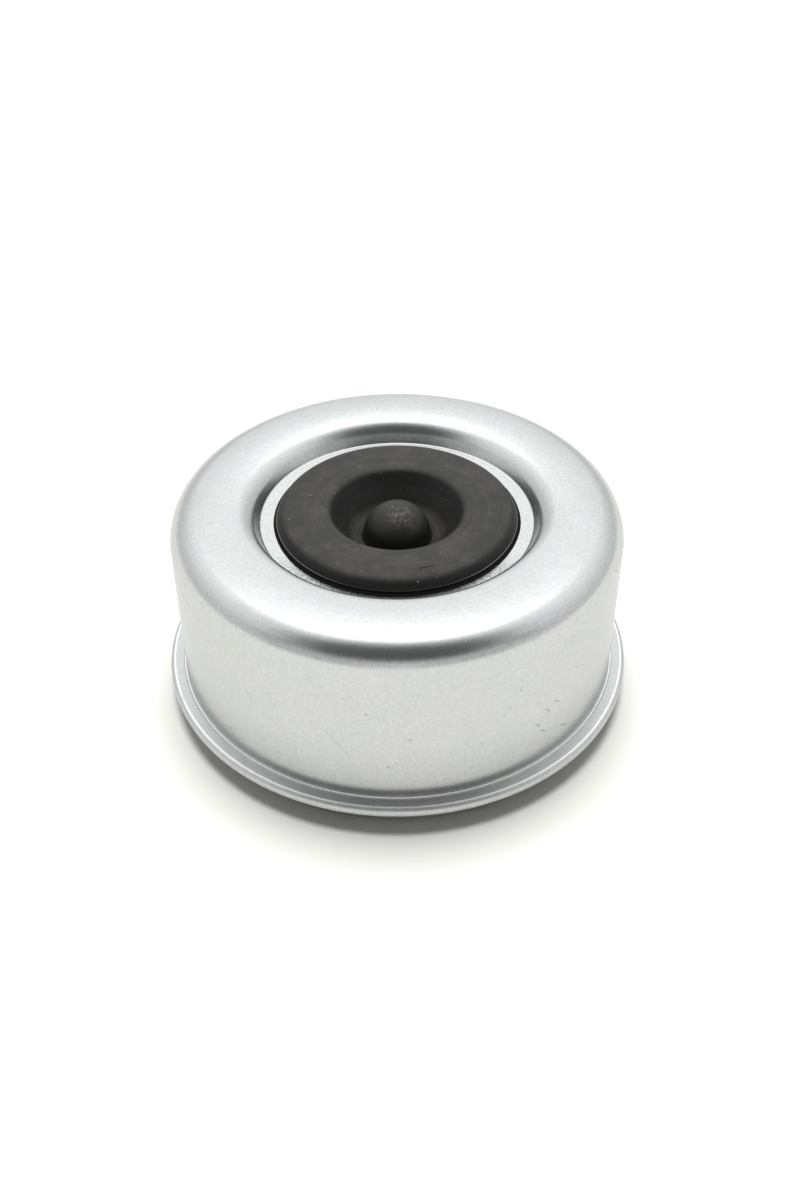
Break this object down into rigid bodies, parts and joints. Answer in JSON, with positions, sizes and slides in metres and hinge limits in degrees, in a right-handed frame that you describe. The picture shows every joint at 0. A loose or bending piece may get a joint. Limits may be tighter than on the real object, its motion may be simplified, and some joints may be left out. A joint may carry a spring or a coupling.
{
  "type": "hub grease cap",
  "caption": "Drive-in steel grease cap for a wheel hub, with a folded stop flange and a dished rubber plug in its recessed top.",
  "frame": {"origin": "centre of the lower edge of the skirt, on the surface that the cap stands on", "axes": "+Z along the cap's axis, from the open mouth to the plugged top; every section through the axis is the same"},
  "size_m": [0.0666, 0.0666, 0.0298],
  "materials": {
    "zinc_plated_steel": "satin bright zinc plate on drawn sheet steel",
    "black_rubber": "matt moulded rubber"
  },
  "bodies": {
    "root": {"cap_shell": "zinc_plated_steel", "rubber_plug": "black_rubber"}
  },
  "joints": []
}
